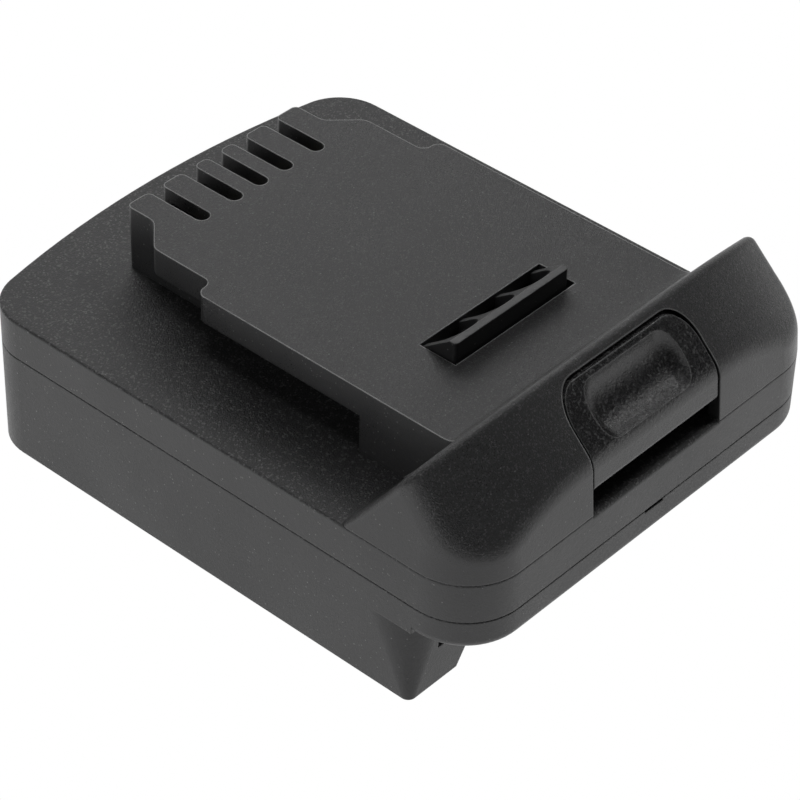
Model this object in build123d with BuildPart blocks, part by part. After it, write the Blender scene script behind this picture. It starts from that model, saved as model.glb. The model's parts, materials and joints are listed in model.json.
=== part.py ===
from build123d import *
from math import asin, cos, radians, sin, sqrt, tan
import os

# Tool battery adapter, in millimetres.
# The upper side is a slide-on tool foot: a raised plate with undercut rails, contact slots,
# a sprung latch and a hood with its thumb button. The underside takes a slide-in battery
# between two long legs.
# The origin is under the middle of the body, on the plane that the legs stand on.
# X is the width, +Y points to the back, where the tool slides on, and +Z is up.
# A setback is a distance behind the body's front edge.

# Body outline
width = 80.0
length = 102.0
front_corner = 10.0
back_corner = 8.5
back_bulge = 4.6
wall = 2.2

# Heights, each counted from the one below it
leg_drop = 13.3
lower_band = 5.06
upper_band = 6.94
plate_rise = 11.4
floor_thickness = 2.2
deck_thickness = 2.2
plate_thickness = 2.4

# Edges of the shells
deck_round = 0.4
seam_bevel = 0.15
pry_notch_half = 2.1
pry_notch_height = 0.45
pry_notch_depth = 0.8
lip_round = 1.6

# Legs and battery channel
leg_setback = 10.8
leg_width = 10.2
leg_corner_low = 1.3
leg_corner_high = 7.5
rail_lip_reach = 2.4
rail_lip_bevel = 3.6
rail_lip_height = 6.6
rail_groove_wall = 6.0
back_wall = 6.0

# Tongue joint between the two shells
tongue_height = 1.2
joint_clearance = 0.1

# Hood
hood_depth = 24.9
hood_crest_setback = 11.0
hood_crest_rise = 19.1
hood_rear_hollow = 0.7
hood_draft = 5.0
facet_angle = 45.0
facet_rise = 8.3
crown_flat = 14.4
crown_fall = 9.0
hood_round = 4.4
hood_rear_round = 1.3
hood_wall = 2.2

# Raised plate and rails
plate_root = 13.5
plate_back_margin = 13.8
plate_step_reach = 22.7
plate_chamfer_reach = 10.6
plate_front_half = 26.6
rail_step = 3.35
rail_reach = 8.15
rail_thickness = 4.8
step_round_share = 0.48
chamfer_round = 2.4
plate_fillet = 4.0
stop_block_end = 33.2

# Contact slots and the fingers between them
slot_width = 2.65
slot_length = 11.2
slot_floor = 2.0
inner_slot_pitch = 5.5
outer_slot_inset = 5.95
finger_round_share = 0.35

# Thumb button
button_half = 14.4
button_top_setback = 9.2
button_corner = 4.5
button_gap = 0.4
button_top_gap_share = 1.7
button_recess = 0.12
button_lift = 3.7
button_wall = 2.9
button_edge_round = 1.0
sill_round = 0.8
button_depth = 10.5
button_boss_radius = 2.2
dish_half = 10.0
dish_low_setback = 1.1
dish_high_setback = 8.0
dish_depth = 2.1
dish_end_run = 3.0

# Latch window, wedge and slider
window_margin = 2.95
window_front = 27.0
window_back = 33.9
latch_left_gap = 0.25
latch_right_gap = 1.35
latch_end_gap = 0.3
latch_rise = 3.4
latch_strip = 1.2
latch_tail_rise = 0.4
latch_pockets = 3
latch_rib = 0.95
latch_pocket_round_share = 0.42
latch_edge_round = 0.6
slider_margin = 0.4
slider_front = 3.8
slider_thickness = 2.2
stop_gap = 0.3
guide_gap = 0.45
guide_width = 1.6
guide_setbacks = (25.2, 32.0)

# Return springs
spring_margin = 4.9
spring_setback = 22.0
spring_radius = 2.7
spring_wire = 0.6
spring_turns = 6
spring_post_radius = 1.8
spring_post_height = 5.0
spring_peg_height = 2.0
spring_end_gap = 0.05

# Tool-side terminal holder and clips
holder_reach = 20.2
holder_gap = 0.3
holder_flange = 5.0
holder_flange_height = 2.4
clip_reach = 17.2
clip_length = 12.0
clip_sheet = 0.5
clip_height = 6.0
clip_half = 0.85
clip_pinch = 0.35
clip_mouth = 0.65
clip_pinch_share = 0.8
clip_pocket_slack = 0.25
clip_tail_width = 1.6
clip_tail_drop = 2.2

# Battery-side terminal block and blades
block_margin = 22.0
block_front_reach = 26.0
block_back_reach = 8.0
block_drop = 9.6
block_flange = 3.9
block_flange_height = 1.8
block_gap = 0.3
blade_pitch_share = 1 / 3
blade_sheet = 0.8
blade_height = 6.0
blade_reach = 11.0
blade_root = 5.0
blade_nose = 1.0
blade_tail_reach = 12.0
blade_tail_width = 2.4
blade_tail_rise = 4.6

# Leads between the blades and the clips
power_lead_radius = 1.2
signal_lead_radius = 0.7
lead_rise = 1.7
lead_straight = 4.0
lead_bend_share = 0.45

# Screws
screw_radius = 1.25
screw_head_radius = 2.3
screw_head_height = 1.6
small_screw_radius = 0.9
small_head_radius = 1.7
small_head_height = 1.2
screw_clearance = 0.1
drive_share = 0.45
case_screw_inset = 14.5
case_screw_front = 8.0
case_screw_back = 12.0
case_screw_length = 8.6
boss_radius = 3.1
cover_screw_inset = 4.3
cover_screw_setbacks = (12.0, 29.0)
cover_screw_length = 8.0
cover_boss_radius = 2.7
holder_screw_reach = 8.2
holder_screw_length = 8.0
button_screw_inset = 6.4
button_screw_setback = 8.2
button_screw_length = 6.0
block_screw_inset = 2.3
block_screw_length = 3.4

# One overrun serves every through cut
overrun = 1.0

# Levels and places worked out from the sizes
front_y = -length / 2
back_y = length / 2
tray_z = leg_drop
floor_z = tray_z + floor_thickness
seam_z = tray_z + lower_band
deck_z = seam_z + upper_band
ceiling_z = deck_z - deck_thickness
plate_z = deck_z + plate_rise
plate_under_z = plate_z - plate_thickness
rail_z = plate_z - rail_thickness
slider_top_z = plate_under_z - stop_gap
slider_under_z = slider_top_z - slider_thickness
plate_back = length - plate_back_margin
plate_step = plate_back - plate_step_reach
plate_chamfer_start = plate_back - plate_chamfer_reach
plate_middle_half = plate_front_half - rail_step
neck_half = plate_front_half - rail_reach
cavity_half = neck_half - wall
cavity_back = plate_back - wall
window_half = cavity_half - window_margin
slider_half = window_half - slider_margin
spring_place = slider_half - spring_margin
button_screw_x = slider_half - button_screw_inset
slot_end = plate_back - slot_length
outer_slot_place = neck_half - outer_slot_inset
holder_front = plate_back - holder_reach
clip_setback = plate_back - clip_reach
block_front = length - block_front_reach
block_back = length - block_back_reach
blade_tail_setback = length - blade_tail_reach
block_half = width / 2 - block_margin
blade_pitch = block_half * blade_pitch_share
case_screw_x = width / 2 - case_screw_inset
case_screw_setbacks = (case_screw_front, (case_screw_front + length - case_screw_back) / 2,
                       length - case_screw_back)
cover_screw_x = plate_front_half - cover_screw_inset
holder_screw_x = neck_half - wall / 2
holder_screw_setback = plate_back - holder_screw_reach
block_screw_x = block_half + block_screw_inset
block_screw_setback = (block_front + block_back) / 2
slot_places = (-outer_slot_place, -inner_slot_pitch, 0, inner_slot_pitch, outer_slot_place)
line_names = ("positive", "signal_a", "signal_b", "signal_c", "negative")
blade_places = [(index - 2) * blade_pitch for index in range(len(slot_places))]
lead_z = floor_z + block_flange_height + lead_rise
case_head_z = tray_z + screw_head_height + screw_clearance


def at(setback):
    """The Y of a place that lies this far behind the front edge."""
    return front_y + setback


def body_outline(inset):
    """The plan of the body, drawn in by an even inset: a straight front and a bowed back."""
    with BuildSketch() as outline:
        with BuildLine():
            Polyline(
                (-width / 2, back_y - back_bulge),
                (-width / 2, front_y),
                (width / 2, front_y),
                (width / 2, back_y - back_bulge),
            )
            ThreePointArc(
                (width / 2, back_y - back_bulge),
                (0, back_y),
                (-width / 2, back_y - back_bulge),
            )
        make_face()
        fillet(outline.vertices().group_by(Axis.Y)[0], front_corner)
        fillet(outline.vertices().group_by(Axis.Y)[-1], back_corner)
        if inset > 0:
            offset(amount=-inset, kind=Kind.INTERSECTION)
    return outline.sketch


def strip(half_width, start, end):
    """A rectangle across the width, from one setback to another."""
    with BuildSketch() as area:
        with Locations((0, at((start + end) / 2))):
            Rectangle(2 * half_width, end - start)
    return area.sketch


def hood_block(inset, rounded):
    """The hood as a solid: drafted walls, a crowned facet to the front and a hollow rear face."""
    slope = radians(facet_angle)
    rear_run = hood_depth - hood_crest_setback
    rear_length = sqrt(rear_run**2 + hood_crest_rise**2)
    out_y = hood_crest_rise / rear_length
    out_z = rear_run / rear_length
    stretch = 2 * overrun / rear_length
    foot = (at(hood_depth) + rear_run * stretch - out_y * inset,
            deck_z - hood_crest_rise * stretch - out_z * inset)
    crest = (at(hood_crest_setback) - rear_run * stretch - out_y * inset,
             deck_z + hood_crest_rise * (1 + stretch) - out_z * inset)
    middle = ((foot[0] + crest[0]) / 2 - out_y * hood_rear_hollow,
              (foot[1] + crest[1]) / 2 - out_z * hood_rear_hollow)
    crown_half = width / 2
    crown_run = crown_half - crown_flat
    crown_radius = (crown_run**2 + crown_fall**2) / (2 * crown_fall)
    half_turn = crown_run / crown_radius / 2
    crown_top = facet_rise - inset / cos(slope)
    bow = (crown_flat + crown_radius * sin(half_turn),
           crown_top - crown_radius * (1 - cos(half_turn)))
    shoulder = (crown_half, crown_top - crown_fall)
    reach = hood_depth + hood_crest_rise
    with BuildPart() as block:
        with BuildSketch(Plane.XY.offset(deck_z)):
            add(body_outline(inset))
        extrude(amount=hood_crest_rise + overrun, taper=hood_draft)
        with BuildSketch(Plane.YZ):
            with BuildLine():
                ThreePointArc(foot, middle, crest)
                Polyline(crest, (front_y - overrun, crest[1]), (front_y - overrun, foot[1]), foot)
            make_face()
        extrude(amount=width, both=True, mode=Mode.INTERSECT)
        facet_start = Plane((0, front_y - overrun, deck_z - overrun * tan(slope)),
                            x_dir=(1, 0, 0), z_dir=(0, -1, 0))
        with BuildSketch(facet_start):
            with BuildLine():
                Line((-crown_flat, crown_top), (crown_flat, crown_top))
                ThreePointArc((crown_flat, crown_top), bow, shoulder)
                Polyline(shoulder, (crown_half, -2 * reach), (-crown_half, -2 * reach),
                         (-shoulder[0], shoulder[1]))
                ThreePointArc((-shoulder[0], shoulder[1]), (-bow[0], bow[1]), (-crown_flat, crown_top))
            make_face()
        extrude(amount=2 * reach, dir=(0, cos(slope), sin(slope)), mode=Mode.INTERSECT)
        if rounded:
            facets = block.faces().filter_by(lambda f: f.normal_at().Z > 0.4 and f.normal_at().Y < 0)
            walls = block.faces().filter_by(lambda f: abs(f.normal_at().Z) < 0.3)
            fillet(facets.edges() & walls.edges(), hood_round)
            rear = block.faces().filter_by(lambda f: f.normal_at().Z > 0.3 and f.normal_at().Y > 0)
            fillet(rear.edges().filter_by_position(Axis.Z, deck_z + overrun, deck_z + hood_crest_rise,
                                                   inclusive=(False, True))
                   .filter_by(lambda e: e.bounding_box().max.Y > at(hood_depth) - overrun),
                   hood_rear_round)
    return block.part


def screw(place, head_z, tip, radius, head_radius, head_height):
    """One pan-head screw at a place, its head's seat at head_z, its tip up or down by a signed length."""
    turn = 1 if tip > 0 else -1
    with BuildPart() as fastener:
        with BuildSketch(Plane.XY.offset(head_z)):
            with Locations(place):
                Circle(radius)
        extrude(amount=tip)
        with BuildSketch(Plane.XY.offset(head_z)):
            with Locations(place):
                Circle(head_radius)
        extrude(amount=-turn * head_height)
        with BuildSketch(Plane.XY.offset(head_z - turn * head_height)):
            with Locations(place):
                RegularPolygon(drive_share * head_radius, 6)
        extrude(amount=turn * head_height / 2, mode=Mode.SUBTRACT)
    return fastener.part


def screw_group(places, head_z, tip, radius, head_radius, head_height):
    """Like screws as one group of separate solids."""
    return Compound(children=[
        screw(place, head_z, tip, radius, head_radius, head_height) for place in places
    ])


case_screw_places = [(side * case_screw_x, at(setback))
                     for side in (-1, 1) for setback in case_screw_setbacks]
cover_screw_places = [(side * cover_screw_x, at(setback))
                      for side in (-1, 1) for setback in cover_screw_setbacks]
holder_screw_places = [(side * holder_screw_x, at(holder_screw_setback)) for side in (-1, 1)]
button_screw_places = [(side * button_screw_x, at(button_screw_setback)) for side in (-1, 1)]
block_screw_places = [(side * block_screw_x, at(block_screw_setback)) for side in (-1, 1)]
spring_places = [(side * spring_place, at(spring_setback)) for side in (-1, 1)]
nodes = {}


# Lower shell: the tray, two legs with rail grooves and the wall behind the battery channel
with BuildPart() as lower_shell:
    with BuildSketch(Plane.XY.offset(tray_z)):
        add(body_outline(0))
    extrude(amount=lower_band)
    fillet(lower_shell.faces().sort_by(Axis.Z)[0].edges(), lip_round)
    with BuildSketch(Plane.XY):
        add(body_outline(0))
        add(strip(width, -overrun, leg_setback), mode=Mode.SUBTRACT)
    extrude(amount=tray_z + lip_round)
    with BuildSketch(Plane.XZ.offset(-at(leg_setback) + overrun)):
        with BuildLine():
            channel_half = width / 2 - leg_width
            lip_half = channel_half - rail_lip_reach
            groove_half = width / 2 - rail_groove_wall
            Polyline(
                (0, -overrun),
                (channel_half, -overrun),
                (channel_half, 0),
                (lip_half, rail_lip_bevel),
                (lip_half, rail_lip_height),
                (groove_half, rail_lip_height),
                (groove_half, tray_z),
                (0, tray_z),
                close=True,
            )
        make_face()
        mirror(about=Plane.YZ)
    extrude(amount=-(length - leg_setback - back_wall + overrun), mode=Mode.SUBTRACT)
    # The legs' front corners grow rounder towards the tray
    for side in (-1, 1):
        for corner_level in ((0, leg_corner_low), (tray_z, leg_corner_high)):
            with BuildSketch(Plane.XY.offset(corner_level[0])):
                with BuildLine():
                    r = corner_level[1]
                    outer = side * width / 2
                    nose = at(leg_setback)
                    ThreePointArc((outer, nose + r),
                                  (outer - side * r * (1 - sin(radians(45))),
                                   nose + r * (1 - sin(radians(45)))),
                                  (outer - side * r, nose))
                    Polyline((outer - side * r, nose), (outer, nose), (outer, nose + r))
                make_face()
        loft(mode=Mode.SUBTRACT)
    # The hollow above the tray floor, and the tongue that stands in the upper shell
    with BuildSketch(Plane.XY.offset(floor_z)):
        add(body_outline(wall))
    extrude(amount=seam_z - floor_z, mode=Mode.SUBTRACT)
    with BuildSketch(Plane.XY.offset(seam_z)):
        add(body_outline(wall / 2))
        add(body_outline(wall), mode=Mode.SUBTRACT)
    extrude(amount=tongue_height)
    ring = lower_shell.faces().filter_by_position(Axis.Z, seam_z, seam_z)[0]
    chamfer(ring.outer_wire().edges(), seam_bevel)
    with BuildSketch(Plane.XY.offset(seam_z - pry_notch_height)):
        add(strip(pry_notch_half, -overrun, pry_notch_depth))
    extrude(amount=pry_notch_height, mode=Mode.SUBTRACT)
    # Screw bosses with recessed heads, spring posts and the terminal block's opening
    with BuildSketch(Plane.XY.offset(floor_z)):
        with Locations(case_screw_places):
            Circle(boss_radius)
    extrude(amount=seam_z - floor_z)
    with BuildSketch(Plane.XY.offset(floor_z)):
        with Locations(spring_places):
            Circle(spring_post_radius)
    extrude(amount=spring_post_height)
    with BuildSketch(Plane.XY.offset(tray_z)):
        with Locations(case_screw_places):
            Circle(screw_head_radius + screw_clearance)
    extrude(amount=screw_head_height + screw_clearance, mode=Mode.SUBTRACT)
    with BuildSketch(Plane.XY.offset(tray_z)):
        with Locations(case_screw_places):
            Circle(screw_radius + screw_clearance)
    extrude(amount=lower_band, mode=Mode.SUBTRACT)
    with BuildSketch(Plane.XY.offset(tray_z)):
        add(strip(block_half + block_gap, block_front - block_gap, block_back + block_gap))
    extrude(amount=floor_thickness, mode=Mode.SUBTRACT)
    with BuildSketch(Plane.XY.offset(floor_z - block_screw_length + block_flange_height)):
        with Locations(block_screw_places):
            Circle(small_screw_radius + screw_clearance)
    extrude(amount=block_screw_length, mode=Mode.SUBTRACT)
nodes["lower_shell"] = lower_shell.part


# Upper shell: the deck with its side band, open under the plate
with BuildPart() as upper_shell:
    with BuildSketch(Plane.XY.offset(seam_z)):
        add(body_outline(0))
    extrude(amount=upper_band)
    fillet(upper_shell.faces().sort_by(Axis.Z)[-1].edges(), deck_round)
    chamfer(upper_shell.faces().sort_by(Axis.Z)[0].edges(), seam_bevel)
    with BuildSketch(Plane.XY.offset(seam_z)):
        add(body_outline(wall))
    extrude(amount=ceiling_z - seam_z, mode=Mode.SUBTRACT)
    with BuildSketch(Plane.XY.offset(seam_z)):
        add(body_outline(wall / 2 - joint_clearance))
    extrude(amount=tongue_height + joint_clearance, mode=Mode.SUBTRACT)
    with BuildSketch(Plane.XY.offset(ceiling_z)):
        add(strip(cavity_half, slider_front, cavity_back))
    extrude(amount=deck_thickness, mode=Mode.SUBTRACT)
    with BuildSketch(Plane.XY.offset(seam_z)):
        with Locations(case_screw_places):
            Circle(boss_radius)
    extrude(amount=ceiling_z - seam_z)
    with BuildSketch(Plane.XY.offset(seam_z)):
        with Locations(case_screw_places):
            Circle(screw_radius + screw_clearance)
    extrude(amount=case_head_z + case_screw_length + screw_clearance - seam_z, mode=Mode.SUBTRACT)
    with BuildSketch(Plane.XY.offset(ceiling_z)):
        with Locations(cover_screw_places + holder_screw_places):
            Circle(small_screw_radius + screw_clearance)
    extrude(amount=deck_thickness, mode=Mode.SUBTRACT)
    # The rounded sill under the button
    with BuildSketch(Plane.YZ.offset(-button_half)):
        with Locations((at((sill_round - overrun) / 2), deck_z + (overrun - sill_round) / 2)):
            Rectangle(overrun + sill_round, overrun + sill_round)
        with Locations((at(sill_round), deck_z - sill_round)):
            Circle(sill_round, mode=Mode.SUBTRACT)
    extrude(amount=2 * button_half, mode=Mode.SUBTRACT)
nodes["upper_shell"] = upper_shell.part


def button_view(gap, low_z):
    """The front view of the button, or of its opening with no gap, round at its top corners."""
    top_z = deck_z + facet_rise + button_top_setback - gap * button_top_gap_share
    with BuildSketch(Plane.XZ.offset(overrun - front_y)) as view:
        with Locations((0, (low_z + top_z) / 2)):
            Rectangle(2 * (button_half - gap), top_z - low_z)
        fillet(view.vertices().group_by(Axis.Y)[-1], button_corner - gap)
    return view.sketch


# Top cover: the raised plate with its rails and fingers, and the hood, in one moulding
with BuildPart() as cover_bosses:
    with BuildSketch(Plane.XY.offset(deck_z)):
        with Locations(cover_screw_places[::2]):
            Circle(cover_boss_radius)
    extrude(amount=hood_crest_rise)
    add(hood_block(hood_wall / 2, False), mode=Mode.INTERSECT)

with BuildPart() as top_cover:
    add(hood_block(0, True))
    with BuildSketch(Plane.XY.offset(rail_z)) as plate_plan:
        with BuildLine():
            Polyline(
                (0, at(plate_root)),
                (plate_front_half, at(plate_root)),
                (plate_front_half, at(plate_step)),
                (plate_middle_half, at(plate_step)),
                (plate_middle_half, at(plate_chamfer_start)),
                (neck_half, at(plate_chamfer_start) + plate_middle_half - neck_half),
                (neck_half, at(plate_back)),
                (0, at(plate_back)),
                close=True,
            )
        make_face()
        fillet(plate_plan.vertices().filter_by_position(Axis.Y, at(plate_step), at(plate_step)),
               step_round_share * rail_step)
        chamfer_end = plate_chamfer_start + plate_middle_half - neck_half
        fillet(plate_plan.vertices().filter_by_position(Axis.Y, at(plate_chamfer_start), at(chamfer_end)),
               chamfer_round)
        mirror(about=Plane.YZ)
    extrude(amount=rail_thickness)
    with BuildSketch(Plane.XY.offset(deck_z)):
        add(strip(neck_half, plate_root, plate_back))
    extrude(amount=plate_rise)
    with BuildSketch(Plane.XY.offset(deck_z)):
        add(strip(plate_front_half, plate_root, stop_block_end))
    extrude(amount=plate_rise - rail_thickness)
    plate_foot = top_cover.edges().filter_by_position(Axis.Z, plate_z, plate_z).sort_by(Axis.Y)[0]
    fillet(plate_foot, plate_fillet)
    # The hollow under the hood and the plate
    add(hood_block(hood_wall, False), mode=Mode.SUBTRACT)
    with BuildSketch(Plane.XY.offset(deck_z)):
        add(strip(cavity_half, slider_front, cavity_back))
    extrude(amount=plate_under_z - deck_z, mode=Mode.SUBTRACT)
    # Ribs that guide the slider, and bosses for the screws from below
    with BuildSketch(Plane.XY.offset(deck_z)):
        guide_length = cavity_half - slider_half - guide_gap
        with Locations([(side * (cavity_half - guide_length / 2), at(setback))
                        for side in (-1, 1) for setback in guide_setbacks]):
            Rectangle(guide_length, guide_width)
    extrude(amount=plate_under_z - deck_z)
    add(cover_bosses.part)
    with BuildSketch(Plane.XY.offset(deck_z)):
        with Locations(cover_screw_places):
            Circle(small_screw_radius + screw_clearance)
    extrude(amount=cover_screw_length - deck_thickness, mode=Mode.SUBTRACT)
    with BuildSketch(Plane.XY.offset(deck_z)):
        with Locations(holder_screw_places):
            Circle(small_screw_radius + screw_clearance)
    extrude(amount=holder_screw_length - holder_flange_height - deck_thickness, mode=Mode.SUBTRACT)
    # Openings for the button and the latch, and the slots, open at the back
    extrude(button_view(0, deck_z - overrun), amount=-(button_depth + overrun), mode=Mode.SUBTRACT)
    with BuildSketch(Plane.XY.offset(plate_under_z)):
        add(strip(window_half, window_front, window_back))
    extrude(amount=plate_thickness, mode=Mode.SUBTRACT)
    with BuildSketch(Plane.XY.offset(deck_z + slot_floor)):
        run = plate_back + overrun - slot_end - slot_width / 2
        with Locations([(place, at(plate_back + overrun - run / 2)) for place in slot_places]):
            Rectangle(slot_width, run)
        with Locations([(place, at(slot_end + slot_width / 2)) for place in slot_places]):
            Circle(slot_width / 2)
    extrude(amount=plate_rise, mode=Mode.SUBTRACT)
    finger_corners = top_cover.edges().filter_by(Axis.Z).filter_by_position(
        Axis.Y, at(plate_back), at(plate_back))
    fillet(finger_corners, finger_round_share * (inner_slot_pitch - slot_width))
nodes["top_cover"] = top_cover.part


# Release button: a thumb cap that follows the hood, with a dished thumb rest and two bosses
with BuildPart() as button_bosses:
    with BuildSketch(Plane.XY.offset(slider_top_z)):
        with Locations(button_screw_places):
            Circle(button_boss_radius)
    extrude(amount=hood_crest_rise)
    add(hood_block(button_recess + button_wall / 2, False), mode=Mode.INTERSECT)

with BuildPart() as release_button:
    add(hood_block(button_recess, True))
    extrude(button_view(button_gap, deck_z + button_lift), amount=-(button_depth + overrun),
            mode=Mode.INTERSECT)
    lower_edge = release_button.edges().group_by(Axis.Z)[0].filter_by(Axis.X).sort_by(Axis.Y)[0]
    fillet(lower_edge, button_edge_round)
    add(hood_block(button_recess + button_wall, False), mode=Mode.SUBTRACT)
    add(button_bosses.part)
    dish_run = (dish_high_setback - dish_low_setback) / cos(radians(facet_angle)) / 2
    dish_radius = (dish_run**2 + dish_depth**2) / (2 * dish_depth)
    dish_setback = (dish_high_setback + dish_low_setback) / 2
    facet_normal = (0, -sin(radians(facet_angle)), cos(radians(facet_angle)))
    dish_origin = Vector(0, at(dish_setback), deck_z + facet_rise + dish_setback)
    dish_axis = dish_origin + Vector(*facet_normal) * (dish_radius - dish_depth)
    end_radius = (dish_end_run**2 + dish_depth**2) / (2 * dish_depth)
    half_turn = asin(dish_end_run / end_radius) / 2
    flat_half = dish_half - dish_end_run
    bow_x = flat_half + end_radius * sin(half_turn)
    bow_r = dish_radius - end_radius * (1 - cos(half_turn))
    rim_r = dish_radius - dish_depth
    dish_plane = Plane(dish_axis, x_dir=(1, 0, 0),
                       z_dir=(0, cos(radians(facet_angle)), sin(radians(facet_angle))))
    with BuildSketch(dish_plane):
        with BuildLine():
            Polyline((dish_half, rim_r), (dish_half, 0), (-dish_half, 0), (-dish_half, rim_r))
            ThreePointArc((-dish_half, rim_r), (-bow_x, bow_r), (-flat_half, dish_radius))
            Line((-flat_half, dish_radius), (flat_half, dish_radius))
            ThreePointArc((flat_half, dish_radius), (bow_x, bow_r), (dish_half, rim_r))
        make_face()
    revolve(axis=Axis(dish_axis, (1, 0, 0)), mode=Mode.SUBTRACT)
    with BuildSketch(Plane.XY.offset(slider_top_z)):
        with Locations(button_screw_places):
            Circle(small_screw_radius + screw_clearance)
    extrude(amount=button_screw_length - slider_thickness, mode=Mode.SUBTRACT)
nodes["release_button"] = release_button.part


# Latch slider: a web under the plate that carries the cored wedge through its window
with BuildPart() as latch_slider:
    wedge_left = latch_left_gap - window_half
    wedge_right = window_half - latch_right_gap
    wedge_front = window_front + latch_end_gap
    wedge_back = window_back - latch_end_gap
    wedge_top = plate_z + latch_rise
    with BuildSketch(Plane.YZ.offset(wedge_left)):
        with BuildLine():
            Polyline(
                (at(wedge_front), slider_top_z),
                (at(wedge_front), wedge_top),
                (at(wedge_front + latch_strip), wedge_top),
                (at(wedge_back), plate_z - latch_tail_rise),
                (at(wedge_back), slider_top_z),
                close=True,
            )
        make_face()
    extrude(amount=wedge_right - wedge_left)
    catch_corners = latch_slider.edges().filter_by(Axis.Z).filter_by_position(
        Axis.Y, at(wedge_front), at(wedge_front))
    fillet(catch_corners, latch_edge_round)
    pocket_width = (wedge_right - wedge_left - (latch_pockets + 1) * latch_rib) / latch_pockets
    pocket_pitch = pocket_width + latch_rib
    with BuildSketch(Plane.XY.offset(slider_top_z)) as pockets:
        for index in range(latch_pockets):
            pocket_x = wedge_left + latch_rib + pocket_width / 2 + index * pocket_pitch
            pocket_front = wedge_front + latch_strip
            with Locations((pocket_x, at((pocket_front + wedge_back + overrun) / 2))):
                Rectangle(pocket_width, wedge_back + overrun - pocket_front)
        fillet(pockets.vertices().group_by(Axis.Y)[0], latch_pocket_round_share * pocket_width)
    extrude(amount=wedge_top - slider_top_z, mode=Mode.SUBTRACT)
    with BuildSketch(Plane.XY.offset(slider_under_z)):
        add(strip(slider_half, slider_front + 2 * guide_gap, window_back - latch_end_gap))
    extrude(amount=slider_thickness)
    with BuildSketch(Plane.XY.offset(slider_under_z - spring_peg_height)):
        with Locations(spring_places):
            Circle(spring_post_radius)
    extrude(amount=spring_peg_height)
    with BuildSketch(Plane.XY.offset(slider_under_z)):
        with Locations(button_screw_places):
            Circle(small_screw_radius + screw_clearance)
    extrude(amount=slider_thickness, mode=Mode.SUBTRACT)
nodes["latch_slider"] = latch_slider.part


def return_spring(place):
    """A coil spring between the tray floor and the slider's web, wound as one tube."""
    low_z = floor_z + spring_wire / 2 + spring_end_gap
    rise = slider_under_z - floor_z - spring_wire - 2 * spring_end_gap
    with BuildPart() as spring:
        with BuildLine() as wire:
            Helix(pitch=rise / spring_turns, height=rise, radius=spring_radius,
                  center=(place[0], place[1], low_z))
        with BuildSketch(Plane(wire.line @ 0, z_dir=wire.line % 0)):
            RegularPolygon(spring_wire / 2, 6)
        sweep(is_frenet=True)
    return spring.part


nodes["return_spring_left"] = return_spring(spring_places[0])
nodes["return_spring_right"] = return_spring(spring_places[1])

# Terminal holder: hangs under the deck and fills the neck behind the slots
clip_z = deck_z + slot_floor
holder_half = cavity_half - holder_gap
pocket_half = clip_half + clip_sheet / 2 + clip_pocket_slack
with BuildPart() as terminal_holder:
    with BuildSketch(Plane.XY.offset(ceiling_z - holder_flange_height)):
        add(strip(holder_half + holder_flange, holder_front - holder_flange_height,
                  cavity_back + holder_flange_height))
    extrude(amount=holder_flange_height)
    with BuildSketch(Plane.XY.offset(ceiling_z)):
        add(strip(holder_half, holder_front, cavity_back - holder_gap))
    extrude(amount=plate_under_z - holder_gap - ceiling_z)
    with BuildSketch(Plane.XY.offset(clip_z)):
        pocket_start = clip_setback - clip_sheet / 2 - clip_pocket_slack
        with Locations([(place, at((pocket_start + plate_back) / 2)) for place in slot_places]):
            Rectangle(2 * pocket_half, plate_back - pocket_start)
    extrude(amount=plate_rise, mode=Mode.SUBTRACT)
    with BuildSketch(Plane.XY.offset(ceiling_z - holder_flange_height)):
        with Locations([(place, at(clip_setback)) for place in slot_places]):
            Rectangle(clip_tail_width + 2 * screw_clearance, clip_sheet + 2 * screw_clearance)
        with Locations(holder_screw_places):
            Circle(small_screw_radius + screw_clearance)
    extrude(amount=clip_z - ceiling_z + holder_flange_height, mode=Mode.SUBTRACT)
nodes["terminal_holder"] = terminal_holder.part


def contact_clip(place):
    """A forked sheet clip in plan: closed at the front, pinched, and flared to the back."""
    pinch_y = at(clip_setback + clip_length * clip_pinch_share)
    mouth_y = at(clip_setback + clip_length)
    with BuildPart() as clip:
        with BuildSketch(Plane.XY.offset(clip_z)):
            with BuildLine():
                Polyline(
                    (place - clip_mouth, mouth_y),
                    (place - clip_pinch, pinch_y),
                    (place - clip_half, at(clip_setback) + clip_half),
                    (place - clip_half, at(clip_setback)),
                    (place + clip_half, at(clip_setback)),
                    (place + clip_half, at(clip_setback) + clip_half),
                    (place + clip_pinch, pinch_y),
                    (place + clip_mouth, mouth_y),
                )
            trace(line_width=clip_sheet)
        extrude(amount=clip_height)
        tail_z = ceiling_z - holder_flange_height - clip_tail_drop
        with BuildSketch(Plane.XY.offset(tail_z)):
            with Locations((place, at(clip_setback))):
                Rectangle(clip_tail_width, clip_sheet)
        extrude(amount=clip_z - tail_z)
    return clip.part


def blade(place):
    """A flat blade that points to the front, with a tail that rises through the block."""
    middle_z = tray_z - block_drop / 2
    tip = block_front - blade_reach
    tail_end = blade_tail_setback + blade_tail_width / 2
    tail_start = blade_tail_setback - blade_tail_width / 2
    with BuildPart() as part:
        with BuildSketch(Plane.YZ.offset(place - blade_sheet / 2)):
            with BuildLine():
                Polyline(
                    (at(tip), middle_z - blade_height / 2 + blade_nose),
                    (at(tip + blade_nose), middle_z - blade_height / 2),
                    (at(tail_end), middle_z - blade_height / 2),
                    (at(tail_end), floor_z + blade_tail_rise),
                    (at(tail_start), floor_z + blade_tail_rise),
                    (at(tail_start), middle_z + blade_height / 2),
                    (at(tip + blade_nose), middle_z + blade_height / 2),
                    (at(tip), middle_z + blade_height / 2 - blade_nose),
                    close=True,
                )
            make_face()
        extrude(amount=blade_sheet)
    return part.part


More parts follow.
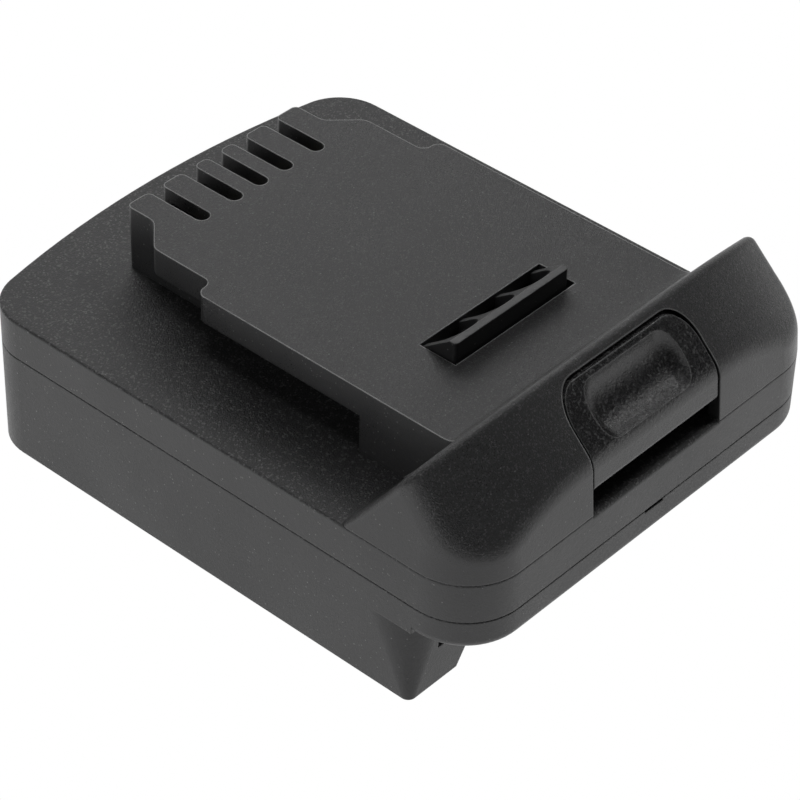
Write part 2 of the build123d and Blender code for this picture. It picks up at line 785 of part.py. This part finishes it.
def lead(start_x, end_x, radius):
    """A short lead from a blade's tail forward to a clip's tail, in two gentle bends."""
    start_y = at(blade_tail_setback - blade_tail_width / 2)
    end_y = at(clip_setback) + clip_sheet / 2
    with BuildPart() as tube:
        with BuildLine() as route:
            if start_x == end_x:
                Line((start_x, start_y, lead_z), (end_x, end_y, lead_z))
            else:
                turn = Vector(0, -1, 0).get_angle(
                    Vector(end_x - start_x, end_y - start_y + 2 * lead_straight, 0))
                FilletPolyline(
                    (start_x, start_y, lead_z),
                    (start_x, start_y - lead_straight, lead_z),
                    (end_x, end_y + lead_straight, lead_z),
                    (end_x, end_y, lead_z),
                    radius=lead_bend_share * lead_straight / tan(radians(turn / 2)),
                )
        with BuildSketch(Plane(route.line @ 0, z_dir=route.line % 0)):
            Circle(radius)
        sweep()
    return tube.part


for line_name, slot_place, blade_place in zip(line_names, slot_places, blade_places):
    power = line_name in ("positive", "negative")
    nodes["contact_clip_" + line_name] = contact_clip(slot_place)
    nodes["blade_" + line_name] = blade(blade_place)
    nodes["lead_" + line_name] = lead(blade_place, slot_place,
                                      power_lead_radius if power else signal_lead_radius)

# Terminal block: hangs through the tray floor into the channel and holds the blades
with BuildPart() as terminal_block:
    with BuildSketch(Plane.XY.offset(tray_z - block_drop)):
        add(strip(block_half, block_front, block_back))
    extrude(amount=block_drop + floor_thickness)
    with BuildSketch(Plane.XY.offset(floor_z)):
        add(strip(block_half + block_flange, block_front - block_flange_height,
                  block_back + block_flange_height))
    extrude(amount=block_flange_height)
    with BuildSketch(Plane.XY.offset(floor_z)):
        with Locations(block_screw_places):
            Circle(small_screw_radius + screw_clearance)
    extrude(amount=block_flange_height, mode=Mode.SUBTRACT)
    for blade_place in blade_places:
        add(blade(blade_place), mode=Mode.SUBTRACT)
nodes["terminal_block"] = terminal_block.part

# Screws, each kind as one group of separate solids
nodes["case_screws"] = screw_group(case_screw_places, case_head_z, case_screw_length,
                                   screw_radius, screw_head_radius, screw_head_height)
nodes["cover_screws"] = screw_group(cover_screw_places, ceiling_z, cover_screw_length,
                                    small_screw_radius, small_head_radius, small_head_height)
nodes["holder_screws"] = screw_group(holder_screw_places, ceiling_z - holder_flange_height,
                                     holder_screw_length, small_screw_radius, small_head_radius,
                                     small_head_height)
nodes["button_screws"] = screw_group(button_screw_places, slider_under_z, button_screw_length,
                                     small_screw_radius, small_head_radius, small_head_height)
nodes["block_screws"] = screw_group(block_screw_places, floor_z + block_flange_height,
                                    -block_screw_length, small_screw_radius, small_head_radius,
                                    small_head_height)

os.makedirs("parts", exist_ok=True)
for name, piece in nodes.items():
    piece.label = name
    export_step(piece, f"parts/{name}.step")
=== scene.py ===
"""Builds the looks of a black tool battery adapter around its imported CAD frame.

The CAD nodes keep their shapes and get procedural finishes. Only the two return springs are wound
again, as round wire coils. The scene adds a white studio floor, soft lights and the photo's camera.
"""

import json
import math

import bpy
import numpy as np
from mathutils import Matrix, Vector


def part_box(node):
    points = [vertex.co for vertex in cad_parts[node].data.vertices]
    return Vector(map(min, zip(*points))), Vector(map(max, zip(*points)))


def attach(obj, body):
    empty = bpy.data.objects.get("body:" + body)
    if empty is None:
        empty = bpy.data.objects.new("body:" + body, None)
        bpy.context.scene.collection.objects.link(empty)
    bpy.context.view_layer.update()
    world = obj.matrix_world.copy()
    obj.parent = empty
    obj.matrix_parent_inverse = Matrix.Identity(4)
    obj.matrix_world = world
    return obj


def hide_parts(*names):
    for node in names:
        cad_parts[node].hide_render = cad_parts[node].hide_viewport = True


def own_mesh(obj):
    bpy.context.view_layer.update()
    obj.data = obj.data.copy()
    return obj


bl_info = {
    "name": "Tool battery adapter",
    "version": (1, 0, 0),
    "blender": (4, 5, 0),
    "location": "3D View > Sidebar > Adapter",
    "description": "Dresses the CAD frame of a tool battery adapter with moulded plastic and metal",
    "category": "Object",
}

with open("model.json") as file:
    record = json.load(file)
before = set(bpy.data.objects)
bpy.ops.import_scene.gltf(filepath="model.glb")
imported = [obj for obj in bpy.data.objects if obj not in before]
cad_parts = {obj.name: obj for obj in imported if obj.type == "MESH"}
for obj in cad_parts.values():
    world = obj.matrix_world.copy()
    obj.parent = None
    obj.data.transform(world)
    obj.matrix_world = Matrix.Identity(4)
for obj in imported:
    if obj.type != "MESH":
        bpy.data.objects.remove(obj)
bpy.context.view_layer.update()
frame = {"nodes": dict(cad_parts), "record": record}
record_colors = {m["slot"]: tuple(m["base_color"][:3]) for m in frame["record"]["materials"]}

# Moulded plastic
coarse_share = 0.37
cloud_waves = 60.0
wall_grain = 0.35
# Pale grey that upward edges are lightened towards, a painted highlight that stands partly for wear
rim_highlight_grey = (0.8, 0.8, 0.8)
# Mid grey of the painted glints, specks on upward faces that stand for light caught by the grain
glint_grey = (0.5, 0.5, 0.5)
dust_grey = (0.4, 0.4, 0.4)
dust_share = 0.6
dust_waves = 2600.0
plastic_ior = 1.55

# Metal and leads
metal_bump = 0.00001
sleeve_bump = 0.00002

# Return springs
spring_wire = 0.0006
spring_turns = 6
steps_per_turn = 24
wire_sides = 8

# Stage, in metres
floor_half = 3.0
floor_level = -0.0002
paper_grey = (0.8, 0.8, 0.8)
wall_top = 0.1
aim = (0.0, 0.0, 0.02)
camera_turn = -49.119
camera_rise = 39.262
camera_roll = 1.711
camera_distance = 0.4704
camera_target = (-0.013975, -0.014357, 0.0253)


class Socket:
    """A shader socket that can be added, subtracted and multiplied as a number can."""

    def __init__(self, graph, output):
        self.graph = graph
        self.output = output

    def maths(self, operation, other):
        return self.graph.maths(operation, self, other)

    def __add__(self, other):
        return self.maths("ADD", other)

    def __mul__(self, other):
        return self.maths("MULTIPLY", other)

    def __sub__(self, other):
        return self.maths("SUBTRACT", other)

    def __rsub__(self, other):
        return self.graph.maths("SUBTRACT", other, self)

    def smooth(self, low, high):
        """0 below low, 1 above high, and a smooth step in between."""
        return self.graph.node("ShaderNodeMapRange", {"interpolation_type": "SMOOTHSTEP"},
                               {"Value": self, "From Min": low, "From Max": high}, "Result")

    def ramp(self, low, high, start, end):
        """Start at low, end at high, and a straight line in between."""
        return self.graph.node("ShaderNodeMapRange", {},
                               {"Value": self, "From Min": low, "From Max": high,
                                "To Min": start, "To Max": end}, "Result")


class Graph:
    """The node tree of one material or world, cleared and ready for expressions."""

    def __init__(self, owner):
        owner.use_nodes = True
        self.tree = owner.node_tree
        self.tree.nodes.clear()

    def node(self, kind, settings, inputs, output=0):
        """A node of a kind: its settings first, then its sockets' values or links."""
        made = self.tree.nodes.new(kind)
        for key, value in settings.items():
            setattr(made, key, value)
        for key, value in inputs.items():
            if isinstance(value, Socket):
                self.tree.links.new(value.output, made.inputs[key])
            else:
                made.inputs[key].default_value = value
        if output is None:
            return made
        return Socket(self, made.outputs[output])

    def maths(self, operation, first, second):
        return self.node("ShaderNodeMath", {"operation": operation}, {0: first, 1: second})

    def place(self):
        """The point on the piece, in metres."""
        return self.node("ShaderNodeTexCoord", {}, {}, "Object")

    def noise(self, place, scale, detail, roughness):
        """Soft cloudy noise from 0 to 1, with this many waves to the metre."""
        return self.node("ShaderNodeTexNoise", {},
                         {"Vector": place, "Scale": scale, "Detail": detail,
                          "Roughness": roughness}, "Fac")

    def cells(self, place, scale, output="Distance"):
        """Distance from the nearest of scattered points, with this many points to the metre."""
        return self.node("ShaderNodeTexVoronoi", {}, {"Vector": place, "Scale": scale}, output)

    def mix(self, share, first, second):
        """One colour at share 0 and the other at share 1."""
        return self.node("ShaderNodeMix", {"data_type": "RGBA"},
                         {0: share, 6: first, 7: second}, 2)

    def finish(self, **inputs):
        """The surface itself: one Principled shader with these sockets."""
        shader = self.node("ShaderNodeBsdfPrincipled", {}, inputs, "BSDF")
        self.node("ShaderNodeOutputMaterial", {}, {"Surface": shader}, None)


def rgba(color, gain=1.0):
    return tuple(min(1.0, c * gain) for c in color[:3]) + (1.0,)


def new_material(name):
    material = bpy.data.materials.new(name)
    return material, Graph(material)


def moulded_plastic(name, color, grain, depth, roughness, edge_radius, edge_highlight_gain, glint_gain,
                    dust=dust_waves):
    """Spark-textured plastic: fine grain, painted glints, cloudy sheen, dust, and painted rim highlights.

    The grain is the sum of two noises, and stronger on faces that look up. The painted glints are a few
    cells on faces that look up, lightened towards mid grey. The rim mask is how far a rounded normal
    leaves the flat one, which is near zero on faces and grows within edge_radius of an edge; on edges
    that look up it lightens the colour towards pale grey as a painted highlight, which stands partly
    for wear.
    """
    material, graph = new_material(name)
    place = graph.place()
    fine = graph.noise(place, grain, 3.0, 0.6)
    coarse = graph.noise(place, grain * coarse_share, 2.0, 0.5)
    cloud = graph.noise(place, cloud_waves, 3.0, 0.55)
    dots = 1.0 - graph.cells(place, dust).smooth(0.15, 0.4)
    dot_colour = graph.cells(place, dust, "Color")
    chosen = graph.node("ShaderNodeSeparateColor", {}, {"Color": dot_colour}, 0).ramp(0.955, 1.0, 0.0, 1.0)
    specks = dots * chosen
    round_normal = graph.node("ShaderNodeBevel", {"samples": 6}, {"Radius": edge_radius}, "Normal")
    flat_normal = graph.node("ShaderNodeNewGeometry", {}, {}, "Normal")
    agreement = graph.node("ShaderNodeVectorMath", {"operation": "DOT_PRODUCT"},
                           {0: round_normal, 1: flat_normal}, "Value")
    upward = graph.node("ShaderNodeSeparateXYZ", {}, {"Vector": round_normal}, "Z").smooth(0.1, 0.6)
    # Rim mask, only on edges that look up: it places the painted edge highlight and lowers the roughness
    # there
    rim_highlight = (1.0 - agreement.smooth(0.86, 0.995)) * upward
    tone = cloud.ramp(0.3, 0.7, 0.92, 1.08) * fine.ramp(0.35, 0.65, 0.75, 1.25)
    body = graph.mix(tone.ramp(0.7, 1.3, 0.0, 1.0), rgba(color, 0.7), rgba(color, 1.3))
    # Painted highlight: upward edges lightened towards pale grey
    rim_highlighted = graph.mix(rim_highlight * edge_highlight_gain, body, rgba(rim_highlight_grey))
    # Painted glints: a few grain cells on upward faces, lightened towards mid grey
    glint_cells = graph.node("ShaderNodeSeparateColor", {},
                       {"Color": graph.cells(place, grain, "Color")}, 1)
    painted_glints = glint_cells.smooth(0.75, 1.0) * upward * glint_gain
    glinted = graph.mix(painted_glints, rim_highlighted, rgba(glint_grey))
    surface = graph.mix(specks * dust_share, glinted, rgba(dust_grey))
    height = (fine * 0.6 + coarse * 0.4 - 0.5) * upward.ramp(0.0, 1.0, wall_grain, 1.0)
    bump = graph.node("ShaderNodeBump", {},
                      {"Strength": 1.0, "Distance": depth, "Height": height,
                       "Normal": round_normal}, "Normal")
    rough = (fine.ramp(0.35, 0.65, roughness - 0.07, roughness + 0.07)
             + cloud.ramp(0.35, 0.65, -0.03, 0.03) - rim_highlight * 0.12)
    graph.finish(**{"Base Color": surface, "Roughness": rough, "Normal": bump,
                    "IOR": plastic_ior})
    return material


def plated_metal(name, color, roughness, streaks):
    """Plated or drawn metal with faint drawing streaks along Z and a little tarnish."""
    material, graph = new_material(name)
    place = graph.place()
    drawn = graph.node("ShaderNodeMapping", {}, {"Vector": place, "Scale": (1.0, 1.0, 0.08)}, "Vector")
    streak = graph.noise(drawn, streaks, 3.0, 0.6)
    tarnish = graph.noise(place, 240.0, 3.0, 0.6)
    surface = graph.mix(tarnish.smooth(0.45, 0.75) * 0.5, rgba(color), rgba(color, 0.62))
    bump = graph.node("ShaderNodeBump", {},
                      {"Strength": 1.0, "Distance": metal_bump, "Height": streak}, "Normal")
    rough = streak.ramp(0.35, 0.65, roughness - 0.06, roughness + 0.06) + tarnish * 0.08
    graph.finish(**{"Base Color": surface, "Roughness": rough, "Metallic": 1.0, "Normal": bump})
    return material


def lead_sleeve(name, color):
    """Soft lead insulation: a smooth satin skin with faint rings from drawing."""
    material, graph = new_material(name)
    place = graph.place()
    skin = graph.noise(place, 900.0, 2.0, 0.5)
    surface = graph.mix(skin, rgba(color, 0.8), rgba(color, 1.3))
    bump = graph.node("ShaderNodeBump", {},
                      {"Strength": 1.0, "Distance": sleeve_bump, "Height": skin}, "Normal")
    graph.finish(**{"Base Color": surface, "Roughness": skin.ramp(0.3, 0.7, 0.36, 0.48),
                    "Normal": bump})
    return material


def dress(node_names, material):
    """Gives each of these CAD nodes this one material."""
    for name in node_names:
        piece = frame["nodes"][name]
        piece.data.materials.clear()
        piece.data.materials.append(material)


def nodes_with(slot_name):
    return [s["node"] for s in frame["record"]["subparts"] if s["material_slot"] == slot_name]


class AdapterPlastics(bpy.types.PropertyGroup):
    shell_color: bpy.props.FloatVectorProperty(
        name="Shell colour", description="Colour of the two shells", subtype="COLOR", size=3,
        min=0.0, max=1.0, default=record_colors["shell_plastic"])
    cover_color: bpy.props.FloatVectorProperty(
        name="Cover colour", description="Colour of the top cover and hood", subtype="COLOR", size=3,
        min=0.0, max=1.0, default=record_colors["cover_plastic"])
    button_color: bpy.props.FloatVectorProperty(
        name="Button colour", description="Colour of the thumb button", subtype="COLOR", size=3,
        min=0.0, max=1.0, default=record_colors["button_plastic"])
    latch_color: bpy.props.FloatVectorProperty(
        name="Latch colour", description="Colour of the latch wedge", subtype="COLOR", size=3,
        min=0.0, max=1.0, default=record_colors["latch_plastic"])
    holder_color: bpy.props.FloatVectorProperty(
        name="Holder colour", description="Colour of the two terminal holders", subtype="COLOR",
        size=3, min=0.0, max=1.0, default=record_colors["holder_plastic"])
    # The edge radius rounds the edges' normals and sets how far the painted highlight on upward edges
    # reaches
    edge_radius: bpy.props.FloatProperty(
        name="Edge radius", description="How far the worn, paler rim of an edge reaches",
        unit="LENGTH", default=0.00034, min=0.0, max=0.002)
    grain_depth: bpy.props.FloatProperty(
        name="Grain depth", description="Depth of the spark texture", unit="LENGTH",
        default=0.0002, min=0.0, max=0.001)


class AdapterMetals(bpy.types.PropertyGroup):
    contact_color: bpy.props.FloatVectorProperty(
        name="Contact colour", description="Colour of the clips and blades", subtype="COLOR", size=3,
        min=0.0, max=1.0, default=record_colors["contact_metal"])
    spring_color: bpy.props.FloatVectorProperty(
        name="Spring colour", description="Colour of the return springs", subtype="COLOR", size=3,
        min=0.0, max=1.0, default=record_colors["spring_steel"])
    screw_color: bpy.props.FloatVectorProperty(
        name="Screw colour", description="Colour of the screws", subtype="COLOR", size=3,
        min=0.0, max=1.0, default=record_colors["screw_steel"])
    lead_color: bpy.props.FloatVectorProperty(
        name="Lead colour", description="Colour of the leads' insulation", subtype="COLOR", size=3,
        min=0.0, max=1.0, default=record_colors["lead_sleeve"])


class AdapterStudio(bpy.types.PropertyGroup):
    key_power: bpy.props.FloatProperty(
        name="Back light", description="Power of the large light behind the object", subtype="POWER",
        default=2.3, min=0.0)
    side_power: bpy.props.FloatProperty(
        name="Side light", description="Power of the light to the left", subtype="POWER",
        default=0.9, min=0.0)
    top_power: bpy.props.FloatProperty(
        name="Top light", description="Power of the light above the hood's right end",
        subtype="POWER", default=0.6, min=0.0)
    overhead_power: bpy.props.FloatProperty(
        name="Overhead light", description="Power of the small light above the plate",
        subtype="POWER", default=0.25, min=0.0)
    front_power: bpy.props.FloatProperty(
        name="Front light", description="Power of the low light in front of the hood",
        subtype="POWER", default=0.01, min=0.0)
    world_strength: bpy.props.FloatProperty(
        name="Room light", description="Strength of the even light all round", default=0.035, min=0.0)
    lens: bpy.props.FloatProperty(
        name="Lens", description="Focal length of the photo's camera", default=145.8, min=20.0)


# Each finish below sets the strength of the painted highlight on upward edges and the share of painted
# glints on upward faces
class ADAPTER_OT_shells(bpy.types.Operator):
    """Finishes the lower and upper shell."""

    bl_idname = "adapter.shells"
    bl_label = "Shells"

    def execute(self, context):
        look = context.scene.adapter_plastics
        material = moulded_plastic("shell_plastic", look.shell_color, grain=3800.0,
                                   depth=look.grain_depth * 1.3, roughness=0.44,
                                   edge_radius=look.edge_radius, edge_highlight_gain=0.1, glint_gain=0.22)
        dress(nodes_with("shell_plastic"), material)
        return {"FINISHED"}


class ADAPTER_OT_cover(bpy.types.Operator):
    """Finishes the top cover with its hood, plate and fingers."""

    bl_idname = "adapter.cover"
    bl_label = "Top cover"

    def execute(self, context):
        look = context.scene.adapter_plastics
        material = moulded_plastic("cover_plastic", look.cover_color, grain=5200.0,
                                   depth=look.grain_depth, roughness=0.35,
                                   edge_radius=look.edge_radius, edge_highlight_gain=1.0, glint_gain=0.13)
        dress(nodes_with("cover_plastic"), material)
        return {"FINISHED"}


class ADAPTER_OT_button(bpy.types.Operator):
    """Finishes the thumb button with a coarser grain."""

    bl_idname = "adapter.button"
    bl_label = "Thumb button"

    def execute(self, context):
        look = context.scene.adapter_plastics
        material = moulded_plastic("button_plastic", look.button_color, grain=3200.0,
                                   depth=look.grain_depth * 0.8, roughness=0.27,
                                   edge_radius=look.edge_radius, edge_highlight_gain=0.5, glint_gain=0.25)
        dress(nodes_with("button_plastic"), material)
        return {"FINISHED"}


class ADAPTER_OT_latch(bpy.types.Operator):
    """Finishes the latch with a smoother plastic."""

    bl_idname = "adapter.latch"
    bl_label = "Latch"

    def execute(self, context):
        look = context.scene.adapter_plastics
        material = moulded_plastic("latch_plastic", look.latch_color, grain=3600.0,
                                   depth=look.grain_depth / 4, roughness=0.42,
                                   edge_radius=look.edge_radius, edge_highlight_gain=0.2, glint_gain=0.0)
        dress(nodes_with("latch_plastic"), material)
        return {"FINISHED"}


class ADAPTER_OT_holders(bpy.types.Operator):
    """Finishes the terminal holder and the terminal block."""

    bl_idname = "adapter.holders"
    bl_label = "Terminal holders"

    def execute(self, context):
        look = context.scene.adapter_plastics
        material = moulded_plastic("holder_plastic", look.holder_color, grain=2600.0,
                                   depth=look.grain_depth / 2, roughness=0.5,
                                   edge_radius=look.edge_radius, edge_highlight_gain=0.1, glint_gain=0.1,
                                   dust=700.0)
        dress(nodes_with("holder_plastic"), material)
        return {"FINISHED"}


class ADAPTER_OT_metals(bpy.types.Operator):
    """Finishes the contacts, screws and leads."""

    bl_idname = "adapter.metals"
    bl_label = "Metal and leads"

    def execute(self, context):
        look = context.scene.adapter_metals
        dress(nodes_with("contact_metal"),
              plated_metal("contact_metal", look.contact_color, roughness=0.3, streaks=3000.0))
        dress(nodes_with("screw_steel"),
              plated_metal("screw_steel", look.screw_color, roughness=0.34, streaks=2500.0))
        dress(nodes_with("lead_sleeve"), lead_sleeve("lead_sleeve", look.lead_color))
        return {"FINISHED"}


def return_coil(name, node, material):
    """A round wire coil in a spring node's place.

    One parameter runs up the helix and the other round the wire.
    """
    low, high = (np.array(corner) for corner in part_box(node))
    wire = spring_wire
    sides = wire_sides
    steps = steps_per_turn * spring_turns
    centre = (low + high) / 2
    reach = ((high - low)[:2].max() - wire) / 2
    climb = high[2] - low[2] - wire
    angle = np.linspace(0.0, 2 * math.pi * spring_turns, steps + 1)[:, None]
    turn = np.linspace(0.0, 2 * math.pi, sides, endpoint=False)[None, :]
    out = reach + wire / 2 * np.cos(turn)
    rise = low[2] + wire / 2 + climb * angle / angle.max() + wire / 2 * np.sin(turn)
    points = np.stack([centre[0] + out * np.cos(angle), centre[1] + out * np.sin(angle), rise],
                      axis=-1).reshape(-1, 3)
    first = (np.arange(steps)[:, None] * sides + np.arange(sides)[None, :]).ravel()
    beside = (np.arange(steps)[:, None] * sides + (np.arange(sides) + 1)[None, :] % sides).ravel()
    faces = np.stack([first, first + sides, beside + sides, beside], axis=1).tolist()
    faces.append(list(range(sides)))
    faces.append(list(range(steps * sides, (steps + 1) * sides))[::-1])
    mesh = bpy.data.meshes.new(name)
    mesh.from_pydata(points.tolist(), [], faces)
    mesh.shade_smooth()
    mesh.materials.append(material)
    coil = bpy.data.objects.new(name, mesh)
    bpy.context.scene.collection.objects.link(coil)
    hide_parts(node)
    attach(coil, "base")
    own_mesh(coil)


class ADAPTER_OT_springs(bpy.types.Operator):
    """Winds the two return springs under the latch."""

    bl_idname = "adapter.springs"
    bl_label = "Return springs"

    def execute(self, context):
        look = context.scene.adapter_metals
        material = plated_metal("spring_steel", look.spring_color, roughness=0.28, streaks=4000.0)
        for side in ("left", "right"):
            return_coil("return_coil_" + side, "return_spring_" + side, material)
        return {"FINISHED"}


def soft_light(name, place, power, wide, tall):
    """A rectangular lamp that looks at the middle of the object."""
    data = bpy.data.lights.new(name, "AREA")
    data.shape = "RECTANGLE"
    data.energy = power
    data.size = wide
    data.size_y = tall
    lamp = bpy.data.objects.new(name, data)
    bpy.context.scene.collection.objects.link(lamp)
    lamp.location = place
    lamp.rotation_euler = (Vector(aim) - Vector(place)).to_track_quat("-Z", "Y").to_euler()


def studio_floor(half, level):
    """A flat square floor, as a grid of two parameters, both from minus half to half."""
    span = np.linspace(-half, half, 3)
    across, along = np.meshgrid(span, span, indexing="ij")
    points = np.stack([across, along, np.full_like(across, level)], axis=-1).reshape(-1, 3)
    row = np.arange(2)
    first = (row[:, None] * 3 + row[None, :]).ravel()
    quads = np.stack([first, first + 3, first + 4, first + 1], axis=1)
    mesh = bpy.data.meshes.new("studio_floor")
    mesh.from_pydata(points.tolist(), [], quads.tolist())
    floor = bpy.data.objects.new("studio_floor", mesh)
    bpy.context.scene.collection.objects.link(floor)
    return floor


def photo_camera(lens):
    """The camera that took the photo, fitted to the object's outline."""
    data = bpy.data.cameras.new("photo_camera")
    data.lens = lens
    data.clip_start = 0.01
    data.clip_end = 20.0
    camera = bpy.data.objects.new("photo_camera", data)
    bpy.context.scene.collection.objects.link(camera)
    turn = math.radians(camera_turn)
    rise = math.radians(camera_rise)
    roll = math.radians(camera_roll)
    back = Vector((math.sin(turn) * math.cos(rise), -math.cos(turn) * math.cos(rise),
                   math.sin(rise)))
    right = Vector((math.cos(turn), math.sin(turn), 0.0))
    up = back.cross(right)
    side = right * math.cos(roll) + up * math.sin(roll)
    top = up * math.cos(roll) - right * math.sin(roll)
    eye = Vector(camera_target) + back * camera_distance
    camera.matrix_world = Matrix((
        (side.x, top.x, back.x, eye.x),
        (side.y, top.y, back.y, eye.y),
        (side.z, top.z, back.z, eye.z),
        (0.0, 0.0, 0.0, 1.0)))
    return camera


class ADAPTER_OT_stage(bpy.types.Operator):
    """Makes the pale floor, the soft lights, the white surroundings and the photo's camera."""

    bl_idname = "adapter.stage"
    bl_label = "Stage"

    def execute(self, context):
        studio = context.scene.adapter_studio
        scene = context.scene
        floor = studio_floor(floor_half, floor_level)
        material, graph = new_material("studio_white")
        path = graph.node("ShaderNodeLightPath", {}, {}, None)
        seen = Socket(graph, path.outputs["Is Camera Ray"])
        glossy = Socket(graph, path.outputs["Is Glossy Ray"])
        through = Socket(graph, path.outputs["Is Transmission Ray"])
        bright = seen.maths("MAXIMUM", glossy).maths("MAXIMUM", through)
        paper = graph.node("ShaderNodeBsdfDiffuse", {}, {"Color": rgba(paper_grey)}, "BSDF")
        glow = graph.node("ShaderNodeEmission", {}, {"Color": rgba((1, 1, 1)), "Strength": 1.0},
                          "Emission")
        upper = graph.node("ShaderNodeMixShader", {}, {0: bright, 1: paper, 2: glow}, "Shader")
        clear = graph.node("ShaderNodeBsdfTransparent", {}, {}, "BSDF")
        below = graph.node("ShaderNodeNewGeometry", {}, {}, "Backfacing")
        both = graph.node("ShaderNodeMixShader", {}, {0: below, 1: upper, 2: clear}, "Shader")
        graph.node("ShaderNodeOutputMaterial", {}, {"Surface": both}, None)
        floor.data.materials.append(material)
        world = bpy.data.worlds.new("studio_room")
        scene.world = world
        room = Graph(world)
        path = room.node("ShaderNodeLightPath", {}, {}, None)
        seen = Socket(room, path.outputs["Is Camera Ray"])
        mirrored = Socket(room, path.outputs["Is Glossy Ray"])
        through = Socket(room, path.outputs["Is Transmission Ray"])
        direction = room.node("ShaderNodeTexCoord", {}, {}, "Generated")
        height = room.node("ShaderNodeSeparateXYZ", {}, {"Vector": direction}, "Z")
        walls = height.ramp(0.0, wall_top, 1.0, 0.0)
        bright = seen.maths("MAXIMUM", mirrored.maths("MAXIMUM", through) * walls)
        strength = bright.ramp(0.0, 1.0, studio.world_strength, 1.0)
        air = room.node("ShaderNodeBackground", {}, {"Color": rgba((1, 1, 1)), "Strength": strength},
                        "Background")
        room.node("ShaderNodeOutputWorld", {}, {"Surface": air}, None)
        soft_light("back_light", (0.36, 0.52, 0.5), studio.key_power, 0.75, 0.45)
        soft_light("side_light", (-0.66, 0.05, 0.16), studio.side_power, 0.4, 0.4)
        soft_light("top_light", (0.42, -0.09, 0.535), studio.top_power, 0.2, 0.16)
        soft_light("overhead_light", (-0.08, -0.04, 0.62), studio.overhead_power, 0.12, 0.12)
        soft_light("front_light", (0.25, -0.6, 0.16), studio.front_power, 0.4, 0.25)
        scene.camera = photo_camera(studio.lens)
        scene.view_settings.view_transform = "Standard"
        return {"FINISHED"}


class ADAPTER_PT_panel(bpy.types.Panel):
    """Lists the adapter's pieces in the sidebar."""

    bl_idname = "ADAPTER_PT_panel"
    bl_label = "Tool battery adapter"
    bl_space_type = "VIEW_3D"
    bl_region_type = "UI"
    bl_category = "Adapter"

    def draw(self, context):
        for group in (context.scene.adapter_plastics, context.scene.adapter_metals,
                      context.scene.adapter_studio):
            for name in group.bl_rna.properties.keys():
                if name not in ("rna_type", "name"):
                    self.layout.prop(group, name)
        for operator in operators:
            self.layout.operator(operator.bl_idname)


operators = (ADAPTER_OT_shells, ADAPTER_OT_cover, ADAPTER_OT_button, ADAPTER_OT_latch,
             ADAPTER_OT_holders, ADAPTER_OT_metals, ADAPTER_OT_springs,
             ADAPTER_OT_stage)
groups = (AdapterPlastics, AdapterMetals, AdapterStudio)


def register():
    for item in groups + operators + (ADAPTER_PT_panel,):
        bpy.utils.register_class(item)
    bpy.types.Scene.adapter_plastics = bpy.props.PointerProperty(type=AdapterPlastics)
    bpy.types.Scene.adapter_metals = bpy.props.PointerProperty(type=AdapterMetals)
    bpy.types.Scene.adapter_studio = bpy.props.PointerProperty(type=AdapterStudio)


def unregister():
    del bpy.types.Scene.adapter_plastics
    del bpy.types.Scene.adapter_metals
    del bpy.types.Scene.adapter_studio
    for item in (ADAPTER_PT_panel,) + operators[::-1] + groups[::-1]:
        bpy.utils.unregister_class(item)


def main():
    register()
    bpy.ops.adapter.shells()
    bpy.ops.adapter.cover()
    bpy.ops.adapter.button()
    bpy.ops.adapter.latch()
    bpy.ops.adapter.holders()
    bpy.ops.adapter.metals()
    bpy.ops.adapter.springs()
    bpy.ops.adapter.stage()


if __name__ == "__main__":
    main()
